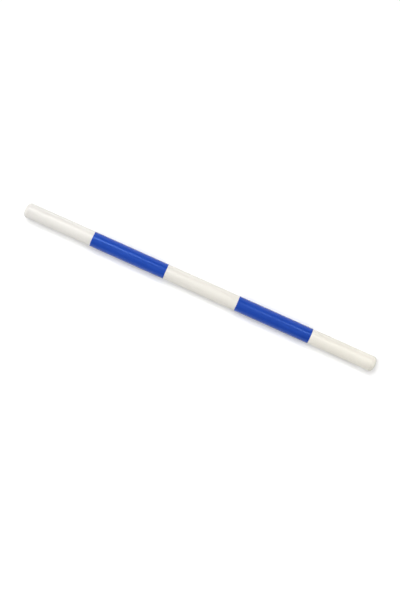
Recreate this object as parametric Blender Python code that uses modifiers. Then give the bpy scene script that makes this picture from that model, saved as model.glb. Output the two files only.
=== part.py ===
"""Straight juggling stick, built like a juggling club.

A wooden dowel runs inside a white plastic tube. At each end a rounded cap is pushed into the tube and
screwed to the dowel, and a flush disc covers the screw. Two bands of blue film are wrapped round the tube.

The stick lies along X with its middle at the origin, and +X is its right end.
Every piece is turned about its own Z axis, and hangs on an empty whose Z axis points to one end.
Sizes are in metres.
"""

import math

import bpy

# The whole stick
STICK_LENGTH = 0.500
STICK_RADIUS = 0.010
SEGMENTS = 32  # sides of the tube and of what fits it
SCREW_SEGMENTS = 16
SHARP_ANGLE = 30  # degrees; steeper edges aren't shaded smooth
FIT_GAP = 0.0003  # between two pieces that touch

# White tube
TUBE_WALL = 0.002
TUBE_CHAMFER = 0.0005

# Blue film bands
BAND_LENGTH = 0.105
BAND_SPACING = 0.2067  # from the middle of one band to the middle of the other
BAND_OFFSET = 0.0015  # the pair sits this far towards the right end
FILM_THICKNESS = 0.0002
FILM_GAP = 0.0001

# End caps
CAP_HEAD = 0.006  # the part of a cap that is outside the tube
CAP_ROUNDING = 0.005
SPIGOT_LENGTH = 0.015
SPIGOT_CHAMFER = 0.0008
RIB_COUNT = 4
RIB_PITCH = 0.003
RIB_WIDTH = 0.0015
RIB_DEPTH = 0.0003
COUNTERBORE_RADIUS = 0.0043
COUNTERBORE_DEPTH = 0.0057
CAP_HOLE_RADIUS = 0.0024

# Screws, washers and screw covers
SCREW_LENGTH = 0.035
SCREW_RADIUS = 0.002
THREAD_ROOT_RADIUS = 0.0014
THREAD_PITCH = 0.0018
THREAD_TURNS = 12
TIP_LENGTH = 0.0035
HEAD_RADIUS = 0.0039
HEAD_HEIGHT = 0.0026
HEAD_ROUNDING = 0.0014
RECESS_LENGTH = 0.0042
RECESS_WIDTH = 0.0009
RECESS_DEPTH = 0.0014
WASHER_RADIUS = 0.004
WASHER_HOLE_RADIUS = 0.00235
WASHER_THICKNESS = 0.0005
COVER_THICKNESS = 0.0016
COVER_CHAMFER = 0.0002

# Wooden core
DOWEL_CHAMFER = 0.0008
PILOT_HOLE_RADIUS = 0.0023
PILOT_HOLE_POINT = 0.0013  # height of the cone that the drill leaves
PILOT_HOLE_SPARE = 0.002  # the hole runs on past the screw's tip

# Places along the stick, measured from its middle
END_FACE = STICK_LENGTH / 2
CAP_SHOULDER = END_FACE - CAP_HEAD
TUBE_END = CAP_SHOULDER - FIT_GAP
SPIGOT_END = CAP_SHOULDER - SPIGOT_LENGTH
DOWEL_END = SPIGOT_END - FIT_GAP
WASHER_SEAT = END_FACE - COUNTERBORE_DEPTH + FIT_GAP
SCREW_SEAT = WASHER_SEAT + WASHER_THICKNESS + FIT_GAP
PILOT_HOLE_END = SCREW_SEAT - SCREW_LENGTH - PILOT_HOLE_SPARE

BORE_RADIUS = STICK_RADIUS - TUBE_WALL
CORE_RADIUS = BORE_RADIUS - FIT_GAP  # of the dowel, and of the spigots over their ribs

WHITE = (0.80, 0.78, 0.73, 1.0)
BLUE = (0.020, 0.075, 0.42, 1.0)
BEECH = (0.60, 0.40, 0.22, 1.0)
STEEL = (0.62, 0.62, 0.60, 1.0)


def clear_scene():
    for thing in list(bpy.data.objects):
        bpy.data.objects.remove(thing)


def add_collection(name):
    collection = bpy.data.collections.new(name)
    bpy.context.scene.collection.children.link(collection)
    return collection


def add_axis(name, turn, collection):
    """An empty in the middle of the stick, turned about Y so that its Z axis points to one end."""
    axis = bpy.data.objects.new(name, None)
    axis.rotation_euler.y = math.radians(turn)
    collection.objects.link(axis)
    return axis


def make_material(name, colour, roughness, metallic=0.0):
    material = bpy.data.materials.new(name)
    material.use_nodes = True
    material.diffuse_color = colour
    shader = material.node_tree.nodes["Principled BSDF"]
    shader.inputs["Base Color"].default_value = colour
    shader.inputs["Roughness"].default_value = roughness
    shader.inputs["Metallic"].default_value = metallic
    return material


def rounded_corner(outer_radius, top, rounding, steps):
    """Profile points from a flat top, round its corner and down to the side."""
    points = []
    for step in range(steps + 1):
        angle = math.pi / 2 * (1 - step / steps)
        radius = outer_radius - rounding + rounding * math.cos(angle)
        points.append((radius, top - rounding + rounding * math.sin(angle)))
    return points


def turned_mesh(name, profile, material, segments=SEGMENTS, ring=False):
    """The mesh that a profile sweeps round Z.

    The profile lists (radius, height) from the top, down the outer side. A ring's profile also runs back
    up its bore and is closed there; any other profile starts and ends on the axis.
    """
    last = len(profile) - 1
    edges = [(point, point + 1) for point in range(last)]
    if ring:
        edges.append((last, 0))
    outline = bpy.data.meshes.new(name + "_outline")
    outline.from_pydata([(radius, 0.0, height) for radius, height in profile], edges, [])
    blank = bpy.data.objects.new(name, outline)
    bpy.context.scene.collection.objects.link(blank)
    sweep = blank.modifiers.new("Turn", "SCREW")
    sweep.steps = segments
    sweep.render_steps = segments
    sweep.use_merge_vertices = True
    sweep.merge_threshold = 0.00001

    depsgraph = bpy.context.evaluated_depsgraph_get()
    mesh = bpy.data.meshes.new_from_object(blank.evaluated_get(depsgraph))
    bpy.data.objects.remove(blank)
    bpy.data.meshes.remove(outline)
    mesh.name = name
    mesh.materials.append(material)
    mesh.shade_smooth()
    mesh.set_sharp_from_angle(angle=math.radians(SHARP_ANGLE))
    return mesh


def add_piece(name, mesh, axis, place, collection):
    """Hangs a mesh on an end's axis, this far from the middle, with a flat side facing down."""
    piece = bpy.data.objects.new(name, mesh)
    collection.objects.link(piece)
    piece.parent = axis
    piece.location.z = place
    piece.rotation_euler.z = math.pi / SEGMENTS
    return piece


def core_dowel(material):
    end = [
        (0.0, PILOT_HOLE_END - PILOT_HOLE_POINT),
        (PILOT_HOLE_RADIUS, PILOT_HOLE_END),
        (PILOT_HOLE_RADIUS, DOWEL_END),
        (CORE_RADIUS - DOWEL_CHAMFER, DOWEL_END),
        (CORE_RADIUS, DOWEL_END - DOWEL_CHAMFER),
    ]
    other_end = [(radius, -height) for radius, height in reversed(end)]
    return turned_mesh("core_dowel", end + other_end, material)


def white_tube(material):
    end = [
        (BORE_RADIUS, TUBE_END - TUBE_CHAMFER),
        (BORE_RADIUS + TUBE_CHAMFER, TUBE_END),
        (STICK_RADIUS, TUBE_END),
    ]
    other_end = [(radius, -height) for radius, height in reversed(end)]
    return turned_mesh("white_tube", end + other_end, material, ring=True)


def blue_band(material):
    """Centred on the middle of the band."""
    inner = STICK_RADIUS + FILM_GAP
    outer = inner + FILM_THICKNESS
    half = BAND_LENGTH / 2
    profile = [(outer, half), (outer, -half), (inner, -half), (inner, half)]
    return turned_mesh("blue_band", profile, material, ring=True)


def end_cap(material):
    """Measured from the shoulder that faces the tube."""
    root = CORE_RADIUS - RIB_DEPTH
    profile = rounded_corner(STICK_RADIUS, CAP_HEAD, CAP_ROUNDING, steps=6)
    profile += [(STICK_RADIUS, 0.0), (root, 0.0)]
    for rib in range(RIB_COUNT):
        top = -RIB_PITCH * (rib + 0.5)
        profile += [(root, top), (CORE_RADIUS, top - RIB_DEPTH)]
        profile += [(CORE_RADIUS, top - RIB_WIDTH), (root, top - RIB_WIDTH - RIB_DEPTH)]
    profile += [(root, SPIGOT_CHAMFER - SPIGOT_LENGTH), (root - SPIGOT_CHAMFER, -SPIGOT_LENGTH)]
    floor = CAP_HEAD - COUNTERBORE_DEPTH
    profile += [(CAP_HOLE_RADIUS, -SPIGOT_LENGTH), (CAP_HOLE_RADIUS, floor)]
    profile += [(COUNTERBORE_RADIUS, floor), (COUNTERBORE_RADIUS, CAP_HEAD)]
    return turned_mesh("end_cap", profile, material, ring=True)


def cap_screw(material):
    """Measured from the underside of the head."""
    profile = [(0.0, HEAD_HEIGHT)]
    profile += rounded_corner(HEAD_RADIUS, HEAD_HEIGHT, HEAD_ROUNDING, steps=4)
    profile += [(HEAD_RADIUS, 0.0), (SCREW_RADIUS, 0.0)]
    thread_top = TIP_LENGTH - SCREW_LENGTH + THREAD_PITCH * THREAD_TURNS
    for turn in range(THREAD_TURNS):
        crest = thread_top - THREAD_PITCH * turn
        profile += [(SCREW_RADIUS, crest), (THREAD_ROOT_RADIUS, crest - THREAD_PITCH * 0.3)]
        profile += [(THREAD_ROOT_RADIUS, crest - THREAD_PITCH * 0.7)]
    profile += [(SCREW_RADIUS, TIP_LENGTH - SCREW_LENGTH), (0.0, -SCREW_LENGTH)]
    return turned_mesh("cap_screw", profile, material, segments=SCREW_SEGMENTS)


def cap_washer(material):
    top = WASHER_THICKNESS
    profile = [(WASHER_RADIUS, top), (WASHER_RADIUS, 0.0), (WASHER_HOLE_RADIUS, 0.0), (WASHER_HOLE_RADIUS, top)]
    return turned_mesh("cap_washer", profile, material, ring=True)


def screw_cover(material):
    """Measured from its outer face."""
    radius = COUNTERBORE_RADIUS - FIT_GAP
    profile = [(0.0, 0.0), (radius - COVER_CHAMFER, 0.0), (radius, -COVER_CHAMFER)]
    profile += [(radius, -COVER_THICKNESS), (0.0, -COVER_THICKNESS)]
    return turned_mesh("screw_cover", profile, material)


def cut_cross_recess(screw, cutters):
    """Two crossed slots in the top of a screw's head, for the screwdriver."""
    for number in range(2):
        bpy.ops.mesh.primitive_cube_add(size=1)
        slot = bpy.context.active_object
        bpy.context.collection.objects.unlink(slot)
        cutters.objects.link(slot)
        slot.name = f"{screw.name}_slot_{number}"
        slot.parent = screw
        slot.location.z = HEAD_HEIGHT
        slot.rotation_euler.z = math.pi / 2 * number
        slot.scale = (RECESS_LENGTH, RECESS_WIDTH, 2 * RECESS_DEPTH)
        slot.hide_render = True
        slot.display_type = "WIRE"
        cut = screw.modifiers.new("Cross recess", "BOOLEAN")
        cut.operation = "DIFFERENCE"
        cut.object = slot


def build():
    clear_scene()
    stick = add_collection("juggling_stick")
    cutters = add_collection("cutters")
    to_right = add_axis("to_right_end", 90, stick)
    to_left = add_axis("to_left_end", -90, stick)

    white = make_material("white_plastic", WHITE, 0.25)
    blue = make_material("blue_film", BLUE, 0.35)
    beech = make_material("beech", BEECH, 0.6)
    steel = make_material("zinc_plated_steel", STEEL, 0.3, metallic=1.0)

    add_piece("core_dowel", core_dowel(beech), to_right, 0.0, stick)
    add_piece("white_tube", white_tube(white), to_right, 0.0, stick)
    band = blue_band(blue)
    cap = end_cap(white)
    washer = cap_washer(steel)
    screw = cap_screw(steel)
    cover = screw_cover(white)
    for side, axis, offset in (("right", to_right, BAND_OFFSET), ("left", to_left, -BAND_OFFSET)):
        add_piece(f"blue_band_{side}", band, axis, BAND_SPACING / 2 + offset, stick)
        add_piece(f"end_cap_{side}", cap, axis, CAP_SHOULDER, stick)
        add_piece(f"cap_washer_{side}", washer, axis, WASHER_SEAT, stick)
        placed_screw = add_piece(f"cap_screw_{side}", screw, axis, SCREW_SEAT, stick)
        cut_cross_recess(placed_screw, cutters)
        add_piece(f"screw_cover_{side}", cover, axis, END_FACE, stick)


build()
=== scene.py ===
"""Looks of the juggling stick: a fine mesh and a procedural material for each piece, on a white floor.

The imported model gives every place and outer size. Each piece is rebuilt along +X, as it lies at the
right end, and the left end's pieces are the same ones turned half round Z. Sizes are in metres.
"""

import math

import bmesh
import bpy
from mathutils import Matrix, Vector, noise


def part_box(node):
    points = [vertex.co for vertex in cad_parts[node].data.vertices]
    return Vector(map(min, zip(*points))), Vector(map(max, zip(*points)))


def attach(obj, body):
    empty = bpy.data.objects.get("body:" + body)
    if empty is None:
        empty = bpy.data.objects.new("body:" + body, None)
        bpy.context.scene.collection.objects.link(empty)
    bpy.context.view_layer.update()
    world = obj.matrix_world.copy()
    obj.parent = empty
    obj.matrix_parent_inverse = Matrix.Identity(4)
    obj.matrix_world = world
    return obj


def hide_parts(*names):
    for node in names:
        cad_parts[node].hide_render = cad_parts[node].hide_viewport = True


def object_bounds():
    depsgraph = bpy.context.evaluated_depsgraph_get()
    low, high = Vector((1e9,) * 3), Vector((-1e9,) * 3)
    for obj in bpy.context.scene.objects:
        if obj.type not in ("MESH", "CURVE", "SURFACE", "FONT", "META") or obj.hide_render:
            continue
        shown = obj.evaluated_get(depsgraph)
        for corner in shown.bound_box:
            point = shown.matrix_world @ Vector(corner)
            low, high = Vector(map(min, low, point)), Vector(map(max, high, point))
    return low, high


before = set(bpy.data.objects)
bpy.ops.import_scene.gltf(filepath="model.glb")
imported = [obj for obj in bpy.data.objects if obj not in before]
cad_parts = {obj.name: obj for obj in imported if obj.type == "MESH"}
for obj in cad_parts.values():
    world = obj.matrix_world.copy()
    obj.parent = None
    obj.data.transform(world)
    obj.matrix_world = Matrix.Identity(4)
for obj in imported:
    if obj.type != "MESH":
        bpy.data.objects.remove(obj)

cad_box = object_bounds()

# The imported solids
FACETS = 32  # flat sides of each round solid, with one facing down

# Fine meshes
SIDES = 160
HIDDEN_SIDES = 96  # sides of the dowel and the washers
SCREW_SIDES = 48
SHARP_ANGLE = 40  # degrees
EDGE = 0.0001  # rounding of a moulded edge
EDGE_STEPS = 4  # faces across a rounded edge
SEAM = 0.0001  # open line between a cap and its screw cover

# White tube
TUBE_WALL = 0.002
TUBE_RINGS = 120
TUBE_EDGE_STEPS = 6
TUBE_WAVER = 0.000012  # how far the extruded wall strays from true round
WAVER_ALONG = 9  # how quickly the stray changes along the tube, for each metre
WAVER_AROUND = 1.2  # and around it
TUBE_EXTRA = 0.00025  # the fine tube's ends come this much nearer to the caps

# Blue film
FILM = 0.0001
FILM_LIFT = 0.00002  # glue under the film
FILM_LAP = 0.45  # radians by which the end of the film overlaps its start
FILM_RAMP = 0.12  # radians over which the film climbs onto its start
FILM_LAP_STEPS = 24  # steps round the film beyond one for each side of the tube
FILM_RINGS = 30
FILM_EDGE_STRAY = 0.00012  # how far the hand-cut edges stray
FILM_EDGE_WAVES = 1.5  # how quickly an edge's stray changes, for each radian
FILM_EDGE_SHIFT = 40  # how much two edges differ, for each metre between them
FILM_SEAM_RIGHT = math.radians(-24)  # where the film starts, from +Y towards +Z
FILM_SEAM_LEFT = math.radians(-156)  # the left end's half turn brings this to the same side

# End caps
CAP_ROUNDING = 0.005
CAP_ROUNDING_STEPS = 20
SPIGOT_LENGTH = 0.015
SPIGOT_CHAMFER = 0.0008
RIB_COUNT = 4
RIB_PITCH = 0.003
RIB_WIDTH = 0.0015
RIB_DEPTH = 0.0003
CAP_HOLE = 0.0024
COUNTERBORE_DEPTH = 0.0057

# Screws, washers and covers
HEAD_HEIGHT = 0.0026
HEAD_ROUNDING = 0.0014
HEAD_ROUNDING_STEPS = 8
SHANK = 0.002
THREAD_PITCH = 0.0018
THREAD_TURNS = 12
THREAD_DEPTH = 0.0006
THREAD_STEPS = 8  # rings for each turn of the thread
THREAD_STEEPNESS = 2.4  # rise of a flank, in depths of the thread for each pitch
TIP = 0.0035
TIP_RINGS = 6
RECESS_REACH = 0.0021
RECESS_WIDTH = 0.0009
RECESS_DEPTH = 0.0014
RECESS_TAPER = 0.6  # size of the recess at its bottom, as a share of its size at the top
WASHER_HOLE = 0.00235
COVER_RING = 0.0011  # radius of the witness mark in the middle of a cover
COVER_RING_DEPTH = 0.00006

# Wooden core
DOWEL_CHAMFER = 0.0008
PILOT_HOLE = 0.0023
PILOT_DEPTH = 0.0214
PILOT_POINT = 0.0013

# Colours: each pair is a material's darker and lighter tone
WHITE_LEFT = ((0.744, 0.724, 0.686), (0.768, 0.749, 0.713))
WHITE_RIGHT = ((0.746, 0.714, 0.633), (0.769, 0.738, 0.658))
WHITE_SCUFF = (0.686, 0.670, 0.625)
CAP_SCUFF = (0.664, 0.647, 0.603)
BLUE_LEFT = ((0.0170, 0.066, 0.400), (0.0200, 0.073, 0.427))
BLUE_RIGHT = ((0.0135, 0.053, 0.334), (0.0165, 0.060, 0.360))
BLUE_SCUFF = (0.032, 0.095, 0.41)
BLUE_GLEAM = (0.24, 0.42, 0.82)  # tint of what the film reflects
BEECH_DARK = (0.46, 0.28, 0.14)
BEECH_MIDDLE = (0.60, 0.40, 0.22)
BEECH_LIGHT = (0.68, 0.47, 0.28)
BEECH_FLECK = (0.30, 0.16, 0.08)
ZINC = ((0.55, 0.56, 0.54), (0.68, 0.68, 0.65))

# Surfaces
WHITE_SPECULAR = 0.25
FILM_SPECULAR = 0.42
TUBE_LINE_DEPTH = 0.000006
CAP_SKIN_DEPTH = 0.000008
FILM_SKIN_DEPTH = 0.00001
GRAIN_DEPTH = 0.00004
ZINC_SKIN_DEPTH = 0.00001
TONE_STOPS = (0.3, 0.7)  # where a cloudy pattern reaches the darker and the lighter tone
CLOUD_RANGE = (0.2, 0.8)  # nearly all of a cloudy pattern lies between these
SCUFF_CORE = 0.6  # the fully rubbed middle of a scuff, as a share of its reach

# Studio
CAMERA_HEIGHT = 1.554
LENS = 71.2  # millimetres
STICK_SLOPE = 24.11  # degrees by which the stick slopes down to the right in the view
STICK_FROM_MIDDLE = (0.0004, 0.0170)  # right and up from the middle of the view
FLOOR_REACH = 5.0
FLOOR_GAP = 0.00005
FLOOR_WHITE = 0.9
FLOOR_VARIATION = 0.01
FLOOR_CLOUDS = 1.5  # spots to a metre
FLOOR_ROUGHNESS = 0.9
FLOOR_SPECULAR = 0.1
FLOOR_GLOW = 0.05  # the floor is lit a little from below, like a light table
HORIZON_LIGHT = 1.02
HORIZON_TOP = (12, 15)  # degrees above the horizon between which its light ends
LAMPS = (  # name, direction, degrees that it seems to cover, strength, strength in reflections
    ("key_left", (-0.18, 0.48, 0.86), 12, 0.24, 0.80),
    ("key_right", (0.20, 0.46, 0.86), 10, 0.28, 0.96),
    ("side", (-0.46, 0.34, 0.82), 30, 1.02, 1.0),
    ("end", (0.82, 0.0, 0.57), 36, 0.22, 2.0),
    ("top", (-0.20, 0.0, 1.0), 50, 1.88, 0.0),
    ("fill", (0.0, -0.6, 0.8), 70, 0.14, 0.0),
)


def span(node):
    """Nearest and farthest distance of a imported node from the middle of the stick, and its radius."""
    low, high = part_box(node)
    near, far = sorted((abs(low.x), abs(high.x)))
    return near, far, high.z / math.cos(math.pi / FACETS)


def arc(x, radius, rounding, start, end, steps=EDGE_STEPS):
    """Profile points round a corner, from one direction to another; 0 degrees is +X and 90 is outward."""
    points = []
    for step in range(steps + 1):
        angle = math.radians(start + (end - start) * step / steps)
        points.append((x + rounding * math.cos(angle), radius + rounding * math.sin(angle)))
    return points


def finish_mesh(name, bm, material):
    bmesh.ops.recalc_face_normals(bm, faces=bm.faces)
    mesh = bpy.data.meshes.new(name)
    bm.to_mesh(mesh)
    bm.free()
    mesh.materials.append(material)
    mesh.shade_smooth()
    mesh.set_sharp_from_angle(angle=math.radians(SHARP_ANGLE))
    return mesh


def lathe(name, profile, material, sides=SIDES, ring=False, radius_at=None):
    """A mesh turned about X. The profile lists (x, radius); a ring's profile closes on itself."""
    bm = bmesh.new()
    loops = []
    for x, radius in profile:
        if radius == 0:
            loops.append([bm.verts.new((x, 0, 0))])
            continue
        loop = []
        for side in range(sides):
            angle = 2 * math.pi * side / sides
            reach = radius_at(x, radius, angle) if radius_at else radius
            loop.append(bm.verts.new((x, reach * math.cos(angle), reach * math.sin(angle))))
        loops.append(loop)
    pairs = list(zip(loops, loops[1:]))
    if ring:
        pairs.append((loops[-1], loops[0]))
    for first, second in pairs:
        for side in range(sides):
            after = (side + 1) % sides
            corners = [first[side % len(first)], first[after % len(first)]]
            corners += [second[after % len(second)], second[side % len(second)]]
            bm.faces.new(dict.fromkeys(corners))
    return finish_mesh(name, bm, material)


def place(name, mesh, node, turn=0.0):
    """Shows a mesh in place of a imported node, turned about Z for the left end."""
    if turn:
        mesh.transform(Matrix.Rotation(turn, 4, "Z"))
    piece = bpy.data.objects.new(name, mesh)
    bpy.context.scene.collection.objects.link(piece)
    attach(piece, "root")
    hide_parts(node)


# Materials


class Paint:
    """A material with one Principled shader, and short ways to add the nodes that drive it."""

    MIX_UNDER, MIX_OVER, MIX_COLOUR = 6, 7, 2  # a Mix node's sockets for colours

    def __init__(self, name, metallic=0.0, specular=0.5):
        self.material = bpy.data.materials.new(name)
        self.material.use_nodes = True
        self.tree = self.material.node_tree
        self.shader = self.tree.nodes["Principled BSDF"]
        self.shader.inputs["Metallic"].default_value = metallic
        self.shader.inputs["Specular IOR Level"].default_value = specular
        self.point = self.tree.nodes.new("ShaderNodeTexCoord").outputs["Object"]

    def join(self, source, target):
        self.tree.links.new(source, target)

    def along(self):
        """How far along the stick, from 0 at its left end to 1 at its right end."""
        parts = self.tree.nodes.new("ShaderNodeSeparateXYZ")
        self.join(self.point, parts.inputs["Vector"])
        return self.remap(parts.outputs["X"], cad_box[0].x, cad_box[1].x, 0.0, 1.0)

    def stretched(self, scale):
        """The point on the piece, with each axis stretched."""
        mapping = self.tree.nodes.new("ShaderNodeMapping")
        mapping.inputs["Scale"].default_value = scale
        self.join(self.point, mapping.inputs["Vector"])
        return mapping.outputs["Vector"]

    def noise(self, scale, detail=2.0, roughness=0.5, distortion=0.0):
        """Cloudy pattern from 0 to 1, with this many spots to a metre along X, Y and Z."""
        texture = self.tree.nodes.new("ShaderNodeTexNoise")
        texture.inputs["Scale"].default_value = 1.0
        texture.inputs["Detail"].default_value = detail
        texture.inputs["Roughness"].default_value = roughness
        texture.inputs["Distortion"].default_value = distortion
        self.join(self.stretched(scale), texture.inputs["Vector"])
        return texture.outputs["Fac"]

    def ramp(self, value, stops):
        """Turns a value into the colours at these stops."""
        ramp = self.tree.nodes.new("ShaderNodeValToRGB")
        while len(ramp.color_ramp.elements) < len(stops):
            ramp.color_ramp.elements.new(0.5)
        for element, (position, colour) in zip(ramp.color_ramp.elements, stops):
            element.position = position
            element.color = (*colour, 1.0)
        self.join(value, ramp.inputs["Fac"])
        return ramp.outputs["Color"]

    def tones(self, value, darker, lighter):
        """Turns a cloudy pattern into a darker and a lighter tone, and those between."""
        return self.ramp(value, list(zip(TONE_STOPS, (darker, lighter))))

    def left_to_right(self, value, left, right):
        """The left end's pair of tones, which change evenly into the right end's."""
        under = self.tones(value, *left)
        over = self.tones(value, *right)
        return self.blend(self.along(), under, over)

    def remap(self, value, low, high, out_low, out_high):
        node = self.tree.nodes.new("ShaderNodeMapRange")
        node.inputs["From Min"].default_value = low
        node.inputs["From Max"].default_value = high
        node.inputs["To Min"].default_value = out_low
        node.inputs["To Max"].default_value = out_high
        self.join(value, node.inputs["Value"])
        return node.outputs["Result"]

    def between(self, value, low, high):
        """Turns a cloudy pattern into numbers between these two."""
        return self.remap(value, *CLOUD_RANGE, low, high)

    def add(self, first, second):
        node = self.tree.nodes.new("ShaderNodeMath")
        node.operation = "ADD"
        self.join(first, node.inputs[0])
        self.join(second, node.inputs[1])
        return node.outputs[0]

    def blend(self, factor, under, over):
        """The colour under, covered by the colour over where the factor is 1."""
        node = self.tree.nodes.new("ShaderNodeMix")
        node.data_type = "RGBA"
        self.join(factor, node.inputs["Factor"])
        for value, socket in ((under, self.MIX_UNDER), (over, self.MIX_OVER)):
            if isinstance(value, tuple):
                node.inputs[socket].default_value = (*value, 1.0)
            else:
                self.join(value, node.inputs[socket])
        return node.outputs[self.MIX_COLOUR]

    def colour(self, source):
        self.join(source, self.shader.inputs["Base Color"])

    def roughness(self, source):
        self.join(source, self.shader.inputs["Roughness"])

    def bump(self, height, depth):
        """Raises the surface by up to this depth where the height is 1."""
        node = self.tree.nodes.new("ShaderNodeBump")
        node.inputs["Strength"].default_value = 1.0
        node.inputs["Distance"].default_value = depth
        self.join(height, node.inputs["Height"])
        self.join(node.outputs["Normal"], self.shader.inputs["Normal"])


def scuffs(paint, scale, share):
    """Sparse short marks, 1 where the surface is rubbed."""
    marks = paint.noise(scale, detail=3.0, roughness=0.6, distortion=0.4)
    return paint.remap(marks, 1 - share, 1 - share * SCUFF_CORE, 0.0, 1.0)


def white_plastic():
    """Glossy extruded tube: white that is a little creamier to the right, with faint lines and scuffs."""
    paint = Paint("white_plastic", specular=WHITE_SPECULAR)
    tone = paint.noise((14, 60, 60))
    marks = scuffs(paint, (120, 700, 700), 0.31)
    paint.colour(paint.blend(marks, paint.left_to_right(tone, WHITE_LEFT, WHITE_RIGHT), WHITE_SCUFF))
    lines = paint.noise((6, 1400, 1400), detail=1.0)
    paint.roughness(paint.add(paint.between(tone, 0.25, 0.31), paint.remap(marks, 0, 1, 0, 0.15)))
    paint.bump(lines, TUBE_LINE_DEPTH)
    return paint.material


def cap_plastic():
    """Glossy moulded plastic: the tube's white, with a fine orange-peel skin."""
    paint = Paint("cap_plastic", specular=WHITE_SPECULAR)
    tone = paint.noise((60, 60, 60))
    marks = scuffs(paint, (500, 700, 700), 0.33)
    paint.colour(paint.blend(marks, paint.left_to_right(tone, WHITE_LEFT, WHITE_RIGHT), CAP_SCUFF))
    paint.roughness(paint.add(paint.between(tone, 0.22, 0.30), paint.remap(marks, 0, 1, 0, 0.2)))
    paint.bump(paint.noise((900, 900, 900), detail=1.0), CAP_SKIN_DEPTH)
    return paint.material


def blue_film():
    """Satin vinyl film: saturated blue, with a fine pebbled skin and soft changes of sheen."""
    paint = Paint("blue_film", specular=FILM_SPECULAR)
    paint.shader.inputs["Specular Tint"].default_value = (*BLUE_GLEAM, 1.0)
    tone = paint.noise((25, 90, 90))
    marks = scuffs(paint, (150, 900, 900), 0.30)
    paint.colour(paint.blend(marks, paint.left_to_right(tone, BLUE_LEFT, BLUE_RIGHT), BLUE_SCUFF))
    paint.roughness(paint.between(tone, 0.17, 0.21))
    paint.bump(paint.noise((1100, 1100, 1100), detail=1.0), FILM_SKIN_DEPTH)
    return paint.material


def beech_wood():
    """Turned beech: straight grain along the dowel, with short dark flecks."""
    paint = Paint("beech_wood")
    grain = paint.noise((3, 260, 260), detail=4.0, roughness=0.6, distortion=0.5)
    body = paint.ramp(grain, [(0.25, BEECH_DARK), (0.5, BEECH_MIDDLE), (0.75, BEECH_LIGHT)])
    flecks = paint.remap(paint.noise((260, 1800, 1800), detail=1.0), 0.66, 0.72, 0.0, 0.7)
    paint.colour(paint.blend(flecks, body, BEECH_FLECK))
    paint.roughness(paint.between(grain, 0.5, 0.7))
    paint.bump(grain, GRAIN_DEPTH)
    return paint.material


def zinc_steel():
    """Zinc-plated steel: bright, slightly mottled metal."""
    paint = Paint("zinc_steel", metallic=1.0)
    mottle = paint.noise((700, 700, 700), detail=3.0)
    paint.colour(paint.tones(mottle, *ZINC))
    paint.roughness(paint.between(mottle, 0.24, 0.40))
    paint.bump(mottle, ZINC_SKIN_DEPTH)
    return paint.material


# Pieces


def make_tube(material):
    _, end, radius = span("white_tube")
    end += TUBE_EXTRA
    bore = radius - TUBE_WALL
    outside = []
    for ring in range(TUBE_RINGS + 1):
        outside.append(((end - EDGE) * (1 - 2 * ring / TUBE_RINGS), radius))
    right = arc(end - EDGE, bore + EDGE, EDGE, 270, 360, TUBE_EDGE_STEPS)
    right += arc(end - EDGE, radius - EDGE, EDGE, 0, 90, TUBE_EDGE_STEPS)
    left = [(-x, r) for x, r in reversed(right)]

    def waver(x, wanted, angle):
        if wanted < radius:
            return wanted
        point = Vector((x * WAVER_ALONG, math.cos(angle) * WAVER_AROUND, math.sin(angle) * WAVER_AROUND))
        return wanted + TUBE_WAVER * noise.noise(point)

    profile = right + outside[1:-1] + left
    return lathe("tube", profile, material, ring=True, radius_at=waver)


def make_film(node, material, seam):
    """One turn of film with its end lapped over its start. The seam is its angle from +Y, towards +Z."""
    near, far, _ = span(node)
    _, _, core = span("white_tube")
    steps = SIDES + FILM_LAP_STEPS
    whole = 2 * math.pi + FILM_LAP
    bm = bmesh.new()

    def inner_radius(turned):
        climb = (turned - 2 * math.pi + FILM_RAMP) / FILM_RAMP
        climb = min(1.0, max(0.0, climb))
        return core + FILM_LIFT + (FILM + FILM_LIFT) * climb * climb * (3 - 2 * climb)

    def ring(x, stray):
        inner, outer = [], []
        for step in range(steps + 1):
            turned = whole * step / steps
            angle = seam + turned
            point = Vector((turned * FILM_EDGE_WAVES, seam, x * FILM_EDGE_SHIFT))
            off = stray * noise.noise(point)
            for points, radius in ((inner, inner_radius(turned)), (outer, inner_radius(turned) + FILM)):
                points.append(bm.verts.new((x + off, radius * math.cos(angle), radius * math.sin(angle))))
        return inner, outer

    rings = []
    for number in range(FILM_RINGS + 1):
        x = near + (far - near) * number / FILM_RINGS
        rings.append(ring(x, FILM_EDGE_STRAY if number in (0, FILM_RINGS) else 0.0))
    for (inner, outer), (next_inner, next_outer) in zip(rings, rings[1:]):
        for step in range(steps):
            bm.faces.new((outer[step], outer[step + 1], next_outer[step + 1], next_outer[step]))
            bm.faces.new((inner[step], next_inner[step], next_inner[step + 1], inner[step + 1]))
        bm.faces.new((inner[0], outer[0], next_outer[0], next_inner[0]))
        bm.faces.new((inner[-1], next_inner[-1], next_outer[-1], outer[-1]))
    for inner, outer in (rings[0], rings[-1]):
        for step in range(steps):
            bm.faces.new((inner[step], inner[step + 1], outer[step + 1], outer[step]))
    return finish_mesh("film", bm, material)


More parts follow.
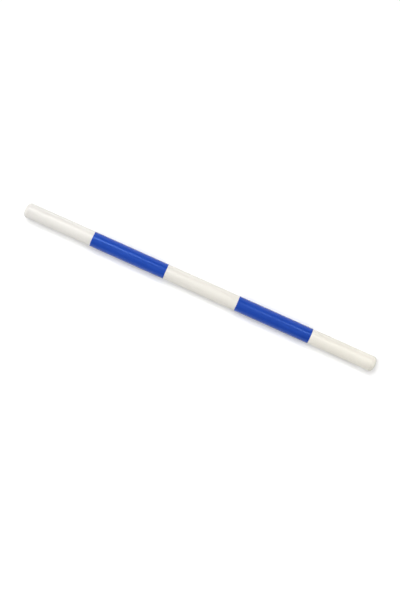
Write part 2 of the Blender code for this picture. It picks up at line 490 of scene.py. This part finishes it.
def make_cap(material):
    """Rounded head, ribbed spigot, hole for the screw and a counterbore for its head."""
    spigot_end, face, radius = span("end_cap_right")
    _, _, cover = span("screw_cover_right")
    _, _, core = span("core_dowel")
    shoulder = spigot_end + SPIGOT_LENGTH
    mouth = cover + SEAM
    floor = face - COUNTERBORE_DEPTH
    root = core - RIB_DEPTH
    profile = arc(face - EDGE, mouth + EDGE, EDGE, 270, 360)
    profile += arc(face - CAP_ROUNDING, radius - CAP_ROUNDING, CAP_ROUNDING, 0, 90, CAP_ROUNDING_STEPS)
    profile += arc(shoulder + EDGE, radius - EDGE, EDGE, 90, 180)
    profile.append((shoulder, root))
    for rib in range(RIB_COUNT):
        top = shoulder - RIB_PITCH * (rib + 0.5)
        profile += [(top, root), (top - RIB_DEPTH, core)]
        profile += [(top - RIB_WIDTH, core), (top - RIB_WIDTH - RIB_DEPTH, root)]
    profile += [(spigot_end + SPIGOT_CHAMFER, root), (spigot_end, root - SPIGOT_CHAMFER)]
    profile += [(spigot_end, CAP_HOLE), (floor, CAP_HOLE), (floor, mouth)]
    return lathe("cap", profile, material, ring=True)


def make_cover(material):
    """Flush disc with rounded edges and a shallow round witness mark in the middle."""
    back, face, radius = span("screw_cover_right")
    mark = face - COVER_RING_DEPTH
    profile = [(face, 0.0), (face, COVER_RING - EDGE), (mark, COVER_RING - EDGE / 2)]
    profile += [(mark, COVER_RING + EDGE / 2), (face, COVER_RING + EDGE)]
    profile += arc(face - EDGE, radius - EDGE, EDGE, 0, 90)
    profile += [(back, radius), (back, 0.0)]
    return lathe("cover", profile, material)


def make_washer(material):
    back, front, radius = span("cap_washer_right")
    edge = (front - back) / 4
    profile = arc(front - edge, radius - edge, edge, 0, 90)
    profile += arc(back + edge, radius - edge, edge, 90, 180)
    profile += [(back, WASHER_HOLE), (front, WASHER_HOLE)]
    return lathe("washer", profile, material, sides=HIDDEN_SIDES, ring=True)


def make_screw(material):
    """Pan head on a shank with a helical thread and a point."""
    tip, top, radius = span("cap_screw_right")
    seat = top - HEAD_HEIGHT
    thread_end = tip + TIP
    thread_start = thread_end + THREAD_PITCH * THREAD_TURNS
    profile = [(top, 0.0)]
    profile += arc(top - HEAD_ROUNDING, radius - HEAD_ROUNDING, HEAD_ROUNDING, 0, 90, HEAD_ROUNDING_STEPS)
    profile += [(seat, radius), (seat, SHANK)]
    rings = THREAD_STEPS * THREAD_TURNS
    for ring in range(rings + 1):
        profile.append((thread_start - THREAD_PITCH * ring / THREAD_STEPS, SHANK))
    for ring in range(1, TIP_RINGS):
        profile.append((thread_end - TIP * ring / TIP_RINGS, SHANK * (1 - ring / TIP_RINGS)))
    profile.append((tip, 0.0))

    def threaded(x, wanted, angle):
        if x > thread_start or wanted > SHANK:
            return wanted
        phase = ((x - thread_end) / THREAD_PITCH - angle / (2 * math.pi)) % 1.0
        groove = min(1.0, THREAD_STEEPNESS * abs(phase - 0.5))
        fade = min(1.0, (thread_start - x) / THREAD_PITCH)
        return wanted * (1 - THREAD_DEPTH / SHANK * fade * (1 - groove))

    return cut_recess(lathe("screw", profile, material, sides=SCREW_SIDES, radius_at=threaded), top)


def cut_recess(mesh, top):
    """Cuts the two crossed slots for the screwdriver, narrower at the bottom, into a screw's head."""
    blank = bpy.data.objects.new("screw_blank", mesh)
    bpy.context.scene.collection.objects.link(blank)
    cutters = []
    for number in range(2):
        bm = bmesh.new()
        bmesh.ops.create_cube(bm, size=1)
        for corner in bm.verts:
            narrow = RECESS_TAPER if corner.co.x < 0 else 1.0
            corner.co.x *= 2 * RECESS_DEPTH
            corner.co.y *= 2 * RECESS_REACH * narrow
            corner.co.z *= RECESS_WIDTH * narrow
        slot = bpy.data.meshes.new("recess_slot")
        bm.to_mesh(slot)
        bm.free()
        slot.transform(Matrix.Translation((top, 0, 0)) @ Matrix.Rotation(math.pi / 2 * number, 4, "X"))
        cutter = bpy.data.objects.new("recess_slot", slot)
        bpy.context.scene.collection.objects.link(cutter)
        cutters.append(cutter)
        cut = blank.modifiers.new("Recess", "BOOLEAN")
        cut.operation = "DIFFERENCE"
        cut.object = cutter
    depsgraph = bpy.context.evaluated_depsgraph_get()
    screw = bpy.data.meshes.new_from_object(blank.evaluated_get(depsgraph))
    for thing in (blank, *cutters):
        bpy.data.objects.remove(thing)
    return screw


def make_dowel(material):
    """Wooden core with chamfered ends, drilled for the screws."""
    _, end, radius = span("core_dowel")
    right = [(end - PILOT_DEPTH - PILOT_POINT, 0.0), (end - PILOT_DEPTH, PILOT_HOLE), (end, PILOT_HOLE)]
    right += [(end, radius - DOWEL_CHAMFER), (end - DOWEL_CHAMFER, radius)]
    left = [(-x, r) for x, r in reversed(right)]
    return lathe("dowel", right + left, material, sides=HIDDEN_SIDES)


def make_pieces():
    white = white_plastic()
    blue = blue_film()
    moulded = cap_plastic()
    steel = zinc_steel()
    place("core", make_dowel(beech_wood()), "core_dowel")
    place("tube", make_tube(white), "white_tube")
    for side, turn, seam in (("right", 0.0, FILM_SEAM_RIGHT), ("left", math.pi, FILM_SEAM_LEFT)):
        film = make_film(f"blue_band_{side}", blue, seam)
        place(f"film_{side}", film, f"blue_band_{side}", turn)
        place(f"cap_{side}", make_cap(moulded), f"end_cap_{side}", turn)
        place(f"cover_{side}", make_cover(moulded), f"screw_cover_{side}", turn)
        place(f"washer_{side}", make_washer(steel), f"cap_washer_{side}", turn)
        place(f"screw_{side}", make_screw(steel), f"cap_screw_{side}", turn)


# Studio


def point_at(thing, target):
    thing.rotation_euler = (Vector(target) - thing.location).to_track_quat("-Z", "Y").to_euler()


def add_camera():
    """Straight above the stick, and turned so that the stick slopes down to the right."""
    data = bpy.data.cameras.new("camera")
    data.lens = LENS
    camera = bpy.data.objects.new("camera", data)
    turn = math.radians(STICK_SLOPE)
    aside = Matrix.Rotation(turn, 3, "Z") @ Vector((*STICK_FROM_MIDDLE, 0))
    camera.location = Vector((0, 0, CAMERA_HEIGHT)) - aside
    camera.rotation_euler = (0, 0, turn)
    bpy.context.scene.collection.objects.link(camera)
    bpy.context.scene.camera = camera


def add_floor(height):
    bm = bmesh.new()
    bmesh.ops.create_grid(bm, x_segments=1, y_segments=1, size=FLOOR_REACH)
    mesh = bpy.data.meshes.new("floor")
    bm.to_mesh(mesh)
    bm.free()
    paint = Paint("floor", specular=FLOOR_SPECULAR)
    tone = paint.noise((FLOOR_CLOUDS,) * 3)
    paint.colour(paint.tones(tone, (FLOOR_WHITE,) * 3, (FLOOR_WHITE + FLOOR_VARIATION,) * 3))
    paint.shader.inputs["Roughness"].default_value = FLOOR_ROUGHNESS
    paint.shader.inputs["Emission Color"].default_value = (1.0, 1.0, 1.0, 1.0)
    paint.shader.inputs["Emission Strength"].default_value = FLOOR_GLOW
    mesh.materials.append(paint.material)
    floor = bpy.data.objects.new("floor", mesh)
    floor.location.z = height
    bpy.context.scene.collection.objects.link(floor)


def add_lamp(name, towards, softness, strength, gleam):
    """Even light from one direction, like a far soft box, with its own strength in reflections."""
    for part, energy in (("diffuse", strength), ("glossy", gleam)):
        if energy:
            data = bpy.data.lights.new(f"{name}_{part}", "SUN")
            data.angle = math.radians(softness)
            data.energy = energy
            lamp = bpy.data.objects.new(data.name, data)
            lamp.location = towards
            lamp.visible_diffuse = part == "diffuse"
            lamp.visible_glossy = part == "glossy"
            point_at(lamp, (0, 0, 0))
            bpy.context.scene.collection.objects.link(lamp)


def add_sky():
    """A white horizon that is dark higher up, where the lamps take over."""
    world = bpy.data.worlds.new("studio")
    bpy.context.scene.world = world
    world.use_nodes = True
    tree = world.node_tree
    direction = tree.nodes.new("ShaderNodeTexCoord")
    parts = tree.nodes.new("ShaderNodeSeparateXYZ")
    level = tree.nodes.new("ShaderNodeMapRange")
    for socket, number in zip(("From Min", "From Max"), HORIZON_TOP):
        level.inputs[socket].default_value = math.sin(math.radians(number))
    level.inputs["To Min"].default_value = HORIZON_LIGHT
    level.inputs["To Max"].default_value = 0.0
    tree.links.new(direction.outputs["Generated"], parts.inputs["Vector"])
    tree.links.new(parts.outputs["Z"], level.inputs["Value"])
    tree.links.new(level.outputs["Result"], tree.nodes["Background"].inputs["Strength"])
    tree.nodes["Background"].inputs["Color"].default_value = (1.0, 1.0, 1.0, 1.0)


make_pieces()
add_camera()
add_floor(cad_box[0].z - FLOOR_GAP)
add_sky()
for lamp in LAMPS:
    add_lamp(*lamp)
bpy.context.scene.view_settings.view_transform = "Standard"
